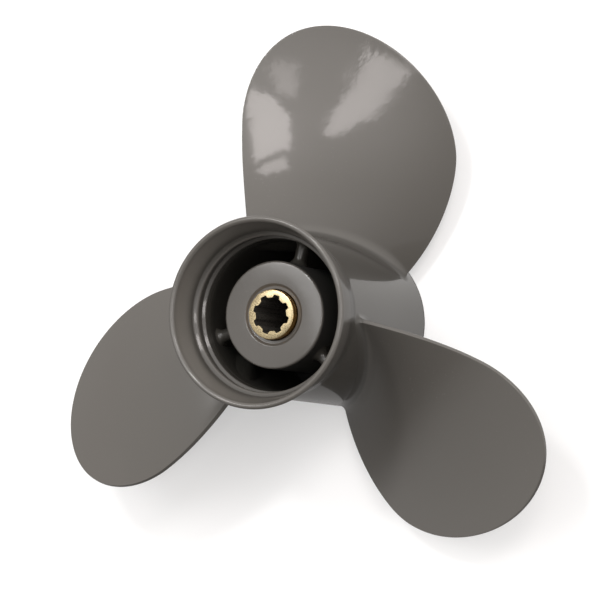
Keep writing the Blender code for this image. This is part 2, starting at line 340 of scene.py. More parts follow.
def turned(outline):
    """A ring turned about Z from a closed outline of (radius, height) points."""
    work = bmesh.new()
    add_loop(work, [(point.x, 0.0, point.y) for point in outline])
    bmesh.ops.spin(
        work, geom=work.verts[:] + work.edges[:], cent=(0.0, 0.0, 0.0), axis=(0.0, 0.0, 1.0),
        dvec=(0.0, 0.0, 0.0), angle=2 * math.pi, steps=TURNED_STEPS, use_merge=True, use_duplicate=False
    )
    bmesh.ops.remove_doubles(work, verts=work.verts, dist=0.000001)
    bmesh.ops.recalc_face_normals(work, faces=work.faces)
    return work


def barrel_radius(sizes, depth):
    """Outer radius of the barrel: a conical flare down to the neck, then a slight widening to the front."""
    if depth < sizes.neck_depth:
        share = max(0.0, (depth - sizes.lip_size) / (sizes.neck_depth - sizes.lip_size))
        return MOUTH_RADIUS + (sizes.neck_radius - MOUTH_RADIUS) * share
    share = (depth - sizes.neck_depth) / (AFT_Z - FRONT_Z - sizes.neck_depth)
    return sizes.neck_radius + (sizes.front_radius - sizes.neck_radius) * share


def barrel_outline(sizes):
    """The barrel's wall, up its outer side and down its inner side."""
    length = AFT_Z - FRONT_Z
    lip = sizes.lip_size
    rim_edge = 0.0005
    cast_edge = 0.0003
    valley_edge = 0.0012
    bead_edge = 0.0004
    socket_floor = length - 0.0040
    passage_end = length - 0.0050
    corners = [
        (sizes.front_radius, length, rim_edge),
        (sizes.neck_radius, sizes.neck_depth, sizes.neck_blend),
        (MOUTH_RADIUS, lip * 1.1, 0.0),
        (MOUTH_RADIUS, 0.0, lip),
        (MOUTH_RADIUS - 2 * lip, 0.0, lip * 1.25),
        (sizes.valley_radius, sizes.valley_depth, valley_edge),
        (sizes.bead_radius, sizes.bead_depth, sizes.bead_size),
        (sizes.bead_radius, sizes.groove_start - bead_edge, bead_edge),
        (sizes.groove_radius, sizes.groove_start, cast_edge),
        (sizes.groove_radius, sizes.groove_end, cast_edge),
        (sizes.bore_radius, sizes.bore_depth, 2 * cast_edge),
        (sizes.bore_radius + cast_edge, passage_end, cast_edge),
        (sizes.socket_radius, socket_floor, cast_edge),
        (sizes.socket_radius, length, cast_edge),
    ]
    return rounded_outline([(radius, AFT_Z - depth, rounding) for radius, depth, rounding in corners])


def blade_chord(sizes, radius):
    """Width of the blade along its arc at a radius inside its widest place."""
    share = max(0.0, (sizes.chord_radius - radius) / (sizes.chord_radius - sizes.root_radius))
    return sizes.chord - sizes.narrowing * share**sizes.narrowing_power


def blade_skew(sizes, radius):
    """How far the middle of the blade's arc lies clockwise of its centre line."""
    if radius < sizes.skew_radius:
        share = (sizes.skew_radius - radius) / (sizes.skew_radius - sizes.root_radius)
        return sizes.skew - sizes.root_skew_loss * share * share
    share = (radius - sizes.skew_radius) / (TIP_RADIUS - sizes.skew_radius)
    return sizes.skew - sizes.tip_skew_loss * share * share


def blade_face(sizes, radius, across):
    """A point of blade 1's aft face; across is measured along the arc from the middle of the chord."""
    turn = (blade_skew(sizes, radius) + across) / radius
    out = share_out(sizes, radius)
    forward = 4 * sizes.bow * out * (1 - out) + sizes.tip_rake * out
    z = AFT_Z - sizes.middle_depth - sizes.pitch * turn / (2 * math.pi) - forward
    return Vector((radius * math.sin(turn), radius * math.cos(turn), z))


def share_out(sizes, radius):
    """How far out a radius lies, from 0 at the root to 1 at the tip."""
    return (radius - sizes.root_radius) / (TIP_RADIUS - sizes.root_radius)


def blade_normal(sizes, radius, across):
    """Outward direction of the aft face."""
    step = 0.0005
    along = blade_face(sizes, radius, across + step) - blade_face(sizes, radius, across - step)
    outward = blade_face(sizes, radius + step, across) - blade_face(sizes, radius - step, across)
    return along.cross(outward).normalized()


def root_fillet(sizes, x):
    """Fillet radius along the root: full in the middle of the chord, smaller at the two edges."""
    return sizes.end_fillet + (sizes.fillet - sizes.end_fillet) * (1 - x**4)


def blade_place(sizes, barrel, x, y):
    """Radius and distance across for a place on the square grid, and how full the blade is there.

    Rows run across up to the widest place. Above it the square is bent into half an ellipse. The root
    row lies one fillet above the barrel, whose radius depends on the depth, so it is found by steps.
    """
    wide = 0.22
    if y < wide:
        radius = sizes.root_radius + root_fillet(sizes, x)
        for _ in range(2):
            half = blade_chord(sizes, radius) / 2
            depth = AFT_Z - blade_face(sizes, radius, x * half).z
            radius = barrel_radius(barrel, depth) + root_fillet(sizes, x)
        share = (y + 1) / (wide + 1)
        radius += (sizes.chord_radius - radius) * share
        return radius, x * blade_chord(sizes, radius) / 2, 1 - x**4
    up = (y - wide) / (1 - wide)
    across = x * math.sqrt(1 - up * up / 2)
    rise = up * math.sqrt(1 - x * x / 2)
    radius = sizes.chord_radius + (TIP_RADIUS - TIP_MARGIN - sizes.chord_radius) * rise
    return radius, across * sizes.chord / 2, (1 - x**4) * (1 - up**4)


def blade_points(sizes, barrel, x, y):
    """The aft and forward points of the blade for a place on the square grid."""
    radius, across, fullness = blade_place(sizes, barrel, x, y)
    aft = blade_face(sizes, radius, across)
    out = share_out(sizes, radius)
    middle = sizes.root_thickness + (sizes.tip_thickness - sizes.root_thickness) * out
    thickness = sizes.edge_thickness + (middle - sizes.edge_thickness) * fullness
    forward = aft - blade_normal(sizes, radius, across) * thickness
    if y <= -1:
        seat = barrel_radius(barrel, AFT_Z - forward.z) + root_fillet(sizes, x)
        forward.xy = forward.xy.normalized() * seat
    return aft, forward


def blade_work(sizes, barrel):
    """Blade 1: two bent grids joined round the outline, rounded edges and a fillet down to the barrel."""
    work = bmesh.new()
    bmesh.ops.create_grid(work, x_segments=sizes.columns, y_segments=sizes.rows, size=1.0)
    copy = bmesh.ops.duplicate(work, geom=work.verts[:] + work.edges[:] + work.faces[:])
    back = set(verts_in(copy["geom"]))
    sides = [edge for edge in open_edges(work.edges) if not all(vert.co.y <= -1 for vert in edge.verts)]
    for vert in work.verts:
        aft, forward = blade_points(sizes, barrel, vert.co.x, vert.co.y)
        vert.co = forward if vert in back else aft
    bmesh.ops.bridge_loops(work, edges=sides)
    bmesh.ops.recalc_face_normals(work, faces=work.faces)
    soften(work, sides, sizes.edge_rounding, 3)
    add_root_fillet(work, barrel)
    return work


def add_root_fillet(work, barrel):
    """Extrude the open root loop down onto the barrel in an arc that ends flush with its surface."""
    work.normal_update()
    base = work.verts.layers.float_vector.new("base")
    lean = work.verts.layers.float_vector.new("lean")
    edges = open_edges(work.edges)
    for vert in verts_of(edges):
        spoke = Vector((vert.co.x, vert.co.y, 0.0)).normalized()
        vert[base] = vert.co
        vert[lean] = (vert.normal - spoke * vert.normal.dot(spoke)).normalized()
    rings = [(1 - math.cos(angle), 1 - math.sin(angle), 0.0) for angle in
             (math.pi / 2 * step / FILLET_STEPS for step in range(1, FILLET_STEPS + 1))]
    # Past the arc a short skirt dips under the barrel's surface
    rings += [(1.08, 0.0, 0.00005), (1.18, 0.0, 0.0003), (1.22, 0.0, 0.0012)]
    for spread, rise, below in rings:
        edges = extrude_loop(work, edges)
        for vert in verts_of(edges):
            start = Vector(vert[base])
            size = start.xy.length - barrel_radius(barrel, AFT_Z - start.z)
            point = start + Vector(vert[lean]) * size * spread
            point.xy = point.xy.normalized() * (barrel_radius(barrel, AFT_Z - point.z) + size * rise - below)
            vert.co = point
    bmesh.ops.contextual_create(work, geom=edges)
    bmesh.ops.recalc_face_normals(work, faces=work.faces)


def boss_outline(sizes):
    """The boss: a cup with a dished aft wall, open to the front for the rubber bush."""
    top = BOSS_HIGH.z
    dish = top - sizes.dish_depth
    dish_slope = 0.0010
    bush_bore = BUSH_RADIUS + sizes.gap
    hole = SLEEVE_RADIUS + sizes.gap
    under = BUSH_HIGH.z + sizes.gap
    edge = 0.0005
    dish_edge = 0.0006
    hole_edge = 0.0002
    seat_edge = 0.0004
    corners = [
        (sizes.boss_radius + sizes.draft, BOSS_LOW.z, edge),
        (sizes.boss_radius, top - sizes.boss_crown, sizes.boss_edge),
        (sizes.dish_radius, top, edge),
        (sizes.dish_radius - dish_slope, dish, dish_edge),
        (hole, dish, hole_edge),
        (hole, under, hole_edge),
        (bush_bore, under, seat_edge),
        (bush_bore, BOSS_LOW.z, edge),
    ]
    return rounded_outline(corners)


def rib_work(sizes, barrel):
    """A rib along +Y: a slot-shaped loop carried from the boss to the barrel, flared at both ends."""
    half = sizes.rib_thickness / 2
    middle = (RIB_LOW.z + RIB_HIGH.z) / 2
    straight = (RIB_HIGH.z - RIB_LOW.z) / 2 - half
    inner = sizes.boss_radius - sizes.gap
    outer = barrel.bore_radius + 2 * sizes.gap
    fillet = sizes.rib_fillet
    rings = []
    for step in range(RIB_FILLET_STEPS + 1):
        angle = math.pi / 2 * step / RIB_FILLET_STEPS
        rings.append((inner + fillet * (1 - math.cos(angle)), fillet * (1 - math.sin(angle))))
    rings += [(outer - (radius - inner), spread) for radius, spread in reversed(rings)]
    work = bmesh.new()
    bmesh.ops.create_circle(work, cap_ends=False, radius=1.0, segments=RIB_SIDES)
    around = work.verts.layers.float_vector.new("around")
    for vert in work.verts:
        vert[around] = vert.co
    first = work.edges[:]
    edges = first
    for index, (radius, spread) in enumerate(rings):
        if index:
            edges = extrude_loop(work, edges)
        for vert in verts_of(edges):
            spot = vert[around]
            x = spot.x * (half + spread)
            z = middle + spot.y * (half + spread) + math.copysign(straight, spot.y)
            vert.co = (x, math.sqrt(radius * radius - x * x), z)
    bmesh.ops.contextual_create(work, geom=first)
    bmesh.ops.contextual_create(work, geom=edges)
    bmesh.ops.recalc_face_normals(work, faces=work.faces)
    return work


def bush_outline(sizes):
    """The rubber bush: a plain tube with softened edges."""
    inner = SLEEVE_RADIUS + sizes.gap
    edge = 0.0012
    corners = [
        (BUSH_RADIUS, BUSH_LOW.z, edge),
        (BUSH_RADIUS, BUSH_HIGH.z, edge),
        (inner, BUSH_HIGH.z, edge / 2),
        (inner, BUSH_LOW.z, edge / 2),
    ]
    return rounded_outline(corners)


def spline_corners(sizes):
    """Corners of the splined bore: teeth point inwards."""
    corners = []
    for tooth in range(sizes.splines):
        middle = sizes.first_tooth + 2 * math.pi * tooth / sizes.splines
        space = middle + math.pi / sizes.splines
        for radius, angle in (
            (sizes.spline_minor, middle - sizes.tooth_half),
            (sizes.spline_minor, middle + sizes.tooth_half),
            (sizes.spline_major, space - sizes.space_half),
            (sizes.spline_major, space + sizes.space_half),
        ):
            corners.append((radius * math.cos(angle), radius * math.sin(angle), sizes.tooth_rounding))
    return corners


def sleeve_work(sizes):
    """The brass sleeve: a ring from the splined outline to the round outside, extruded and chamfered."""
    work = bmesh.new()
    bore = rounded_outline(spline_corners(sizes), TOOTH_STEPS)
    inner = add_loop(work, [(point.x, point.y, SLEEVE_HIGH.z) for point in bore])
    for vert in verts_in(bmesh.ops.extrude_edge_only(work, edges=inner)["geom"]):
        vert.co.xy = vert.co.xy.normalized() * SLEEVE_RADIUS
    lower = verts_in(bmesh.ops.extrude_face_region(work, geom=work.faces[:])["geom"])
    bmesh.ops.translate(work, vec=(0.0, 0.0, SLEEVE_LOW.z - SLEEVE_HIGH.z), verts=lower)
    bmesh.ops.recalc_face_normals(work, faces=work.faces)
    on_outside = set(vert for vert in work.verts if vert.co.xy.length > SLEEVE_RADIUS - 1e-6)
    outer = [edge for edge in work.edges if on_outside.issuperset(edge.verts)
             and edge.verts[0].co.z == edge.verts[1].co.z]
    soften(work, outer, sizes.sleeve_chamfer, 2)
    return work


def new_material(name):
    """A new material, its node tree and its shader."""
    made = bpy.data.materials.new(name)
    made.use_nodes = True
    return made, made.node_tree, made.node_tree.nodes["Principled BSDF"]


def feed(tree, socket, value):
    """Link a socket to another one, or set it to a number or a colour."""
    if isinstance(value, bpy.types.NodeSocket):
        tree.links.new(value, socket)
    elif socket.type == "RGBA":
        socket.default_value = (*value, 1.0)
    else:
        socket.default_value = value


def noise(tree, vector, scale, detail, roughness=0.5):
    """A noise texture on the given coordinates."""
    node = tree.nodes.new("ShaderNodeTexNoise")
    for title, value in (("Vector", vector), ("Scale", scale), ("Detail", detail), ("Roughness", roughness)):
        feed(tree, node.inputs[title], value)
    return node.outputs["Fac"]


def maths(tree, operation, *values):
    """A Math node on sockets or numbers."""
    node = tree.nodes.new("ShaderNodeMath")
    node.operation = operation
    for socket, value in zip(node.inputs, values):
        feed(tree, socket, value)
    return node.outputs[0]


def map_range(tree, value, low, high, to_low=0.0, to_high=1.0):
    """A smooth, clamped Map Range node."""
    node = tree.nodes.new("ShaderNodeMapRange")
    node.interpolation_type = "SMOOTHSTEP"
    given = {"Value": value, "From Min": low, "From Max": high, "To Min": to_low, "To Max": to_high}
    for title, number in given.items():
        feed(tree, node.inputs[title], number)
    return node.outputs["Result"]


def mix_colour(tree, factor, first, second):
    """A Mix node for colours, whose sockets 6 and 7 hold the two colours."""
    node = tree.nodes.new("ShaderNodeMix")
    node.data_type = "RGBA"
    for index, value in ((0, factor), (6, first), (7, second)):
        feed(tree, node.inputs[index], value)
    return node.outputs[2]


def object_coordinates(tree):
    """The piece's own coordinates."""
    return tree.nodes.new("ShaderNodeTexCoord").outputs["Object"]


def radius_and_height(tree, vector):
    """Distance from the axis and height, from the piece's own coordinates."""
    split = tree.nodes.new("ShaderNodeSeparateXYZ")
    tree.links.new(vector, split.inputs[0])
    squares = maths(tree, "MULTIPLY", split.outputs["X"], split.outputs["X"])
    squares = maths(tree, "MULTIPLY_ADD", split.outputs["Y"], split.outputs["Y"], squares)
    return maths(tree, "SQRT", squares), split.outputs["Z"]


def new_group(name, numbers, output):
    """A node group given a vector and some numbers: the group, what it is given and its result's socket."""
    group = bpy.data.node_groups.new(name, "ShaderNodeTree")
    group.interface.new_socket("Vector", in_out="INPUT", socket_type="NodeSocketVector")
    for title in numbers:
        group.interface.new_socket(title, in_out="INPUT", socket_type="NodeSocketFloat")
    group.interface.new_socket(output, in_out="OUTPUT", socket_type="NodeSocketFloat")
    return group, group.nodes.new("NodeGroupInput").outputs, group.nodes.new("NodeGroupOutput").inputs[0]


def orange_peel_group(name):
    """Height of sprayed gloss paint: a slow unevenness of the casting under a fine orange peel."""
    group, given, result = new_group(name, ("Peel", "Waves"), "Height")
    peel = maths(group, "MULTIPLY", noise(group, given["Vector"], 480.0, 2.0), given["Peel"])
    waves = noise(group, given["Vector"], 46.0, 3.0)
    group.links.new(maths(group, "MULTIPLY_ADD", waves, given["Waves"], peel), result)
    return group


def dust_group(name):
    """Fine pale dust specks, thicker in soft patches."""
    group, given, result = new_group(name, ("Amount",), "Mask")
    specks = map_range(group, noise(group, given["Vector"], 900.0, 1.0), 0.66, 0.76)
    patches = map_range(group, noise(group, given["Vector"], 24.0, 2.0), 0.40, 0.75, 0.1, 1.0)
    mask = maths(group, "MULTIPLY", specks, patches)
    group.links.new(maths(group, "MULTIPLY", mask, given["Amount"]), result)
    return group


def turning_group(name):
    """Height of fine rings left by the lathe, with a sandy grain across them."""
    group, given, result = new_group(name, ("Rings", "Grain"), "Height")
    radius, height = radius_and_height(group, given["Vector"])
    join = group.nodes.new("ShaderNodeCombineXYZ")
    group.links.new(radius, join.inputs["X"])
    group.links.new(height, join.inputs["Z"])
    rings = maths(group, "MULTIPLY", noise(group, join.outputs[0], 6000.0, 1.0), given["Rings"])
    grain = noise(group, given["Vector"], 2600.0, 2.0, 0.6)
    group.links.new(maths(group, "MULTIPLY_ADD", grain, given["Grain"], rings), result)
    return group


EFFECTS = {"Orange peel": orange_peel_group, "Dust": dust_group, "Turning marks": turning_group}


def place_effect(tree, name, vector, **values):
    """Put a shared effect, built the first time that it is asked for, in a material with its own values."""
    node = tree.nodes.new("ShaderNodeGroup")
    node.node_tree = bpy.data.node_groups.get(name) or EFFECTS[name](name)
    tree.links.new(vector, node.inputs["Vector"])
    for title, value in values.items():
        node.inputs[title].default_value = value
    return node.outputs[0]


def finish_surface(tree, shader, colour, rough, height):
    """Feed the shader its colour, its roughness and a bump from a height in metres."""
    bump = tree.nodes.new("ShaderNodeBump")
    bump.inputs["Strength"].default_value = 1.0
    bump.inputs["Distance"].default_value = 1.0
    tree.links.new(height, bump.inputs["Height"])
    tree.links.new(bump.outputs["Normal"], shader.inputs["Normal"])
    tree.links.new(colour, shader.inputs["Base Color"])
    tree.links.new(rough, shader.inputs["Roughness"])


def painted_shade_mask(tree, vector, barrel, hub, top, fade):
    """How much painted shade darkens the exhaust passage: nothing above a height, and full a little way below
    it.
    """
    radius, height = radius_and_height(tree, vector)
    wall = barrel.bore_radius + 0.0008
    side = hub.boss_radius - 0.0006
    inside = map_range(tree, radius, wall, wall + 0.0005, 1.0, 0.0)
    outside = map_range(tree, radius, side, side + 0.0004)
    mask = map_range(tree, height, top - fade, top, 1.0, 0.0)
    mask = maths(tree, "MULTIPLY", mask, inside)
    return maths(tree, "MULTIPLY", mask, outside)


def mouth_shade_and_light_masks(tree, vector, barrel):
    """Painted shade in the mouth's valley and in the groove under the bead, and painted light on the paint
    above the valley.
    """
    radius, height = radius_and_height(tree, vector)
    bead = AFT_Z - barrel.bead_depth
    valley = AFT_Z - barrel.valley_depth
    groove = AFT_Z - barrel.groove_start
    inside = map_range(tree, radius, MOUTH_RADIUS - 0.0030, MOUTH_RADIUS - 0.0020, 1.0, 0.0)
    above = map_range(tree, height, valley, valley + 0.0050, 1.0, 0.0)
    below = map_range(tree, height, bead, valley - 0.0003)
    in_groove = map_range(tree, height, groove, groove + 0.0005, 1.0, 0.0)
    mouth_shade = maths(tree, "MAXIMUM", maths(tree, "MULTIPLY", above, below), in_groove)
    painted_light = map_range(tree, height, valley, valley + 0.0030)
    return maths(tree, "MULTIPLY", mouth_shade, inside), maths(tree, "MULTIPLY", painted_light, inside)


def paint_material(name, scene, top, fade, gloss=True, dulling=0.6):
    """Warm grey paint over the casting, with or without its gloss; painted shade below a height darkens it
    and raises its roughness.
    """
    found = bpy.data.materials.get(name)
    if found:
        return found
    made, tree, shader = new_material(name)
    colours = scene.propeller_colours
    barrel = scene.propeller_barrel
    vector = object_coordinates(tree)
    # The boss's copy of the paint is darkened as painted shade.
    paint = Vector(colours.paint) * (1.0 if gloss else colours.boss_shade_tone)
    tone = map_range(tree, noise(tree, vector, 9.0, 2.0), 0.3, 0.7)
    colour = mix_colour(tree, tone, paint * 0.97, paint * 1.03)
    dust = place_effect(tree, "Dust", vector, Amount=colours.dust_amount)
    colour = mix_colour(tree, dust, colour, colours.dust)
    painted_shade = painted_shade_mask(tree, vector, barrel, scene.propeller_hub, top, fade)
    least = colours.satin_roughness
    if gloss:
        mouth_shade, painted_light = mouth_shade_and_light_masks(tree, vector, barrel)
        # Painted light brightens the mouth's cone above the valley; painted shade darkens the valley and the
        # groove.
        colour = mix_colour(tree, painted_light, colour, paint * colours.mouth_light_tone)
        colour = mix_colour(tree, maths(tree, "MULTIPLY", mouth_shade, colours.mouth_shade), colour, colours.passage)
        least = colours.gloss_roughness
        shader.inputs["Specular IOR Level"].default_value = 0.25
        shader.inputs["Coat Roughness"].default_value = colours.bloom
        coat = maths(tree, "MULTIPLY_ADD", painted_shade, -colours.coat, colours.coat)
        tree.links.new(coat, shader.inputs["Coat Weight"])
    # Painted shade: the exhaust passage, the boss's wall and the ribs are darkened below a height.
    colour = mix_colour(tree, painted_shade, colour, colours.passage)
    rough = map_range(tree, noise(tree, vector, 60.0, 3.0), 0.3, 0.7, least, least + 0.03)
    rough = maths(tree, "MULTIPLY_ADD", painted_shade, dulling, rough)
    peel = place_effect(tree, "Orange peel", vector, Peel=0.000014, Waves=0.00012)
    finish_surface(tree, shader, colour, rough, peel)
    return made


def casting_paint(scene):
    """The gloss paint of the barrel and the blades."""
    top = AFT_Z - scene.propeller_barrel.bore_depth - 0.0005
    return paint_material("grey_gloss_paint", scene, top, 0.0070)


def boss_paint(scene):
    """The boss's paint, which has lost its gloss; its colour is darkened as painted shade."""
    return paint_material("grey_satin_paint", scene, BOSS_HIGH.z - 0.0008, 0.0008, gloss=False)


def rib_paint(scene):
    """The ribs' paint, with painted shade only lower down."""
    return paint_material("grey_rib_paint", scene, RIB_HIGH.z + 0.0060, 0.0120, dulling=0.15)


def rubber_material(colours):
    """Dull black rubber with a fine moulded grain."""
    made, tree, shader = new_material("black_rubber_bush")
    vector = object_coordinates(tree)
    bloom = map_range(tree, noise(tree, vector, 160.0, 3.0), 0.35, 0.75, 0.0, 0.4)
    colour = mix_colour(tree, bloom, colours.rubber, colours.rubber_bloom)
    rough = map_range(tree, noise(tree, vector, 700.0, 2.0), 0.3, 0.7, 0.62, 0.80)
    marks = place_effect(tree, "Turning marks", vector, Rings=0.000004, Grain=0.00001)
    finish_surface(tree, shader, colour, rough, marks)
    return made


def brass_material(colours, hub):
    """Turned brass: a pale sandy face, a deeper golden side and a bore painted dark as painted shade."""
    made, tree, shader = new_material("turned_brass")
    vector = object_coordinates(tree)
    brass = Vector(colours.brass)
    grain = map_range(tree, noise(tree, vector, 2400.0, 2.0, 0.6), 0.35, 0.65)
    colour = mix_colour(tree, grain, brass * 0.78, brass * 1.18)
    radius, height = radius_and_height(tree, vector)
    side = map_range(tree, radius, SLEEVE_RADIUS - 0.0003, SLEEVE_RADIUS - 0.0001)
    colour = mix_colour(tree, side, colour, colours.brass_side)
    # Painted shade: the splined bore is painted dark and loses its metal below its top edge.
    bore = map_range(tree, radius, hub.spline_major + 0.0001, hub.spline_major + 0.0003, 1.0, 0.0)
    deep = map_range(tree, height, SLEEVE_HIGH.z - 0.0006, SLEEVE_HIGH.z - 0.0002, 1.0, 0.0)
    bore_shade = maths(tree, "MULTIPLY", bore, deep)
    colour = mix_colour(tree, bore_shade, colour, colours.bore_shade)
    rough = map_range(tree, grain, 0.0, 1.0, 0.24, 0.34)
    tree.links.new(maths(tree, "SUBTRACT", 1.0, bore_shade), shader.inputs["Metallic"])
    marks = place_effect(tree, "Turning marks", vector, Rings=0.000003, Grain=0.000006)
    finish_surface(tree, shader, colour, rough, marks)
    return made


def floor_material(name, colour, glow=0.0):
    """One matt colour. A floor that glows a little keeps its shadows light, and has no gloss at all."""
    made, tree, shader = new_material(name)
    given = {"Base Color": colour, "Roughness": 0.9}
    if glow:
        given.update({"Emission Color": colour, "Emission Strength": glow, "Specular IOR Level": 0.0})
    for title, value in given.items():
        feed(tree, shader.inputs[title], value)
    return made


class PROPELLER_OT_barrel(bpy.types.Operator):
    """Turn the exhaust barrel with its flared, beaded mouth"""

    bl_idname = "propeller.barrel"
    bl_label = "Exhaust Barrel"

    def execute(self, context):
        scene = context.scene
        work = turned(barrel_outline(scene.propeller_barrel))
        piece = finished("cast_barrel", work, casting_paint(scene), "exhaust_barrel")
        return {"FINISHED"}


class PROPELLER_OT_blades(bpy.types.Operator):
    """Shape the three blades with rounded edges and root fillets"""

    bl_idname = "propeller.blades"
    bl_label = "Blades"

    def execute(self, context):
        scene = context.scene
        for i in range(BLADES):
            work = blade_work(scene.propeller_blades, scene.propeller_barrel)
            turn_about_axis(work, blade_turn(i))
            piece = finished(f"cast_blade_{i + 1}", work, casting_paint(scene), f"blade_{i + 1}")
            smooth = piece.modifiers.new("Smooth casting", "SUBSURF")
            smooth.levels = 2
            smooth.render_levels = 2
        return {"FINISHED"}


class PROPELLER_OT_boss(bpy.types.Operator):
    """Turn the inner boss and cast its three ribs"""

    bl_idname = "propeller.boss"
    bl_label = "Boss and Ribs"

    def execute(self, context):
        scene = context.scene
        hub = scene.propeller_hub
        piece = finished("cast_boss", turned(boss_outline(hub)), boss_paint(scene), "inner_boss")
        for i in range(BLADES):
            work = rib_work(hub, scene.propeller_barrel)
            turn_about_axis(work, blade_turn(i) - hub.rib_angle)
            piece = finished(f"cast_rib_{i + 1}", work, rib_paint(scene), f"rib_{i + 1}")
        return {"FINISHED"}


class PROPELLER_OT_bush(bpy.types.Operator):
    """Turn the rubber bush"""

    bl_idname = "propeller.bush"
    bl_label = "Rubber Bush"

    def execute(self, context):
        scene = context.scene
        work = turned(bush_outline(scene.propeller_hub))
        piece = finished("moulded_bush", work, rubber_material(scene.propeller_colours), "rubber_bush")
        return {"FINISHED"}


class PROPELLER_OT_sleeve(bpy.types.Operator):
    """Cut the splined brass sleeve"""

    bl_idname = "propeller.sleeve"
    bl_label = "Splined Sleeve"

    def execute(self, context):
        scene = context.scene
        brass = brass_material(scene.propeller_colours, scene.propeller_hub)
        piece = finished("brass_sleeve", sleeve_work(scene.propeller_hub), brass, "spline_sleeve")
        return {"FINISHED"}


# What lights the propeller, as directions from it, whose length doesn't matter; left is towards -X
LEFT_SIDE = (-0.72, -0.33, 0.61)
HALO_MIDDLE = (0.36, 0.12, 0.92)
LIT_WALL = (0.29, 0.957, 0.0)
WINDOW_UPPER = ((0.275, 0.20, 0.94), (0.28, 0.105, 0.954), (0.375, 0.225, 0.90), (0.325, 0.255, 0.91))
WINDOW_MIDDLE = (
    (0.265, 0.325, 0.908), (0.325, 0.275, 0.905), (0.43, 0.285, 0.857), (0.525, 0.36, 0.77),
    (0.435, 0.555, 0.71)
)
WINDOW_LOWER = ((0.46, 0.57, 0.68), (0.54, 0.395, 0.743), (0.59, 0.42, 0.69), (0.53, 0.54, 0.655))
STRIP = (
    (0.25, -0.10, 0.963), (0.25, -0.187, 0.95), (0.435, -0.06, 0.898), (0.535, 0.125, 0.836),
    (0.515, 0.185, 0.837)
)
EDGE_LIGHT = ((-0.50, 0.20, 0.84), (-0.25, 0.62, 0.74), (-0.14, 0.58, 0.80), (-0.37, 0.16, 0.91))
SMEAR = ((-0.58, 0.60, 0.55), (-0.66, 0.57, 0.49), (-0.90, 0.19, 0.39), (-0.80, 0.15, 0.58))
OVERHEAD = ((-0.395, 0.07, 0.905), (-0.13, 0.33, 0.93))
KEY = ((-0.10, 0.40, 0.91), (-0.02, 0.48, 0.88))


def facing(tree, direction, towards):
    """How nearly a direction points towards another one, from -1 to 1."""
    dot = tree.nodes.new("ShaderNodeVectorMath")
    dot.operation = "DOT_PRODUCT"
    dot.inputs[1].default_value = Vector(towards).normalized()
    tree.links.new(direction, dot.inputs[0])
    return dot.outputs["Value"]


def add_softbox(name, ends, width, brightness, target):
    """A rectangular light between two directions, some degrees wide, seen from a point on the propeller."""
    distance = 2.5
    first, last = (Vector(end).normalized() * distance for end in ends)
    light = bpy.data.lights.new(name, "AREA")
    light.shape = "RECTANGLE"
    light.size = (last - first).length
    light.size_y = 2 * distance * math.tan(math.radians(width) / 2)
    light.energy = brightness * math.pi * light.size * light.size_y
    lamp = bpy.data.objects.new(name, light)
    bpy.context.scene.collection.objects.link(lamp)
    away = (first + last).normalized()
    along = (last - first).normalized()
    turn = Matrix((along, away.cross(along), away)).transposed().to_4x4()
    lamp.matrix_world = Matrix.Translation(Vector(target) + (first + last) / 2) @ turn


def stage_prop(name, work, finish):
    """Turn a bmesh into a piece of the studio."""
    prop = scene_object(name, work, finish)
    return prop


def add_pane(name, corners, brightness, tint, target, matt_too):
    """A glowing pane, from the directions of its corners as seen from a point on the propeller.

    One that isn't for matt surfaces too shows only where the propeller mirrors it.
    """
    distance = 4.0
    work = bmesh.new()
    verts = [work.verts.new(Vector(target) + Vector(corner).normalized() * distance) for corner in corners]
    bmesh.ops.contextual_create(work, geom=verts)
    glow, tree, shader = new_material(name)
    feed(tree, shader.inputs["Base Color"], (0.0, 0.0, 0.0))
    feed(tree, shader.inputs["Emission Color"], tint)
    feed(tree, shader.inputs["Emission Strength"], brightness)
    pane = stage_prop(name, work, glow)
    pane.visible_camera = False
    pane.visible_diffuse = matt_too


def brightness_above(tree, direction, split, studio):
    """The room overhead: brighter to one side, on the left and round the panes, dimmer opposite blade 1."""
    bright_side = facing(tree, direction, (math.cos(studio.sky_bearing), math.sin(studio.sky_bearing), 0.0))
    level = maths(tree, "MULTIPLY_ADD", bright_side, studio.sky_slope, studio.sky)
    dim = map_range(tree, split["Y"], -0.50, -0.10, studio.dimming, 0.0)
    level = maths(tree, "SUBTRACT", level, maths(tree, "MULTIPLY", dim, split["Z"]))
    left = map_range(tree, facing(tree, direction, LEFT_SIDE), 0.80, 0.94, 0.0, studio.side)
    level = maths(tree, "MAXIMUM", maths(tree, "ADD", level, left), 0.05)
    halo = map_range(tree, facing(tree, direction, HALO_MIDDLE), 0.88, 1.0, 0.0, studio.halo)
    return maths(tree, "ADD", level, halo)


def brightness_below(tree, direction, split, studio):
    """The room below the horizon: a lit wall on one side, an even ground, darker straight down."""
    wall = map_range(tree, facing(tree, direction, LIT_WALL), -0.09, 0.04, 0.0, studio.wall)
    shade = map_range(tree, split["Z"], -0.98, -0.91, 0.4, 1.0)
    return maths(tree, "MULTIPLY", maths(tree, "MAXIMUM", wall, studio.ground), shade)


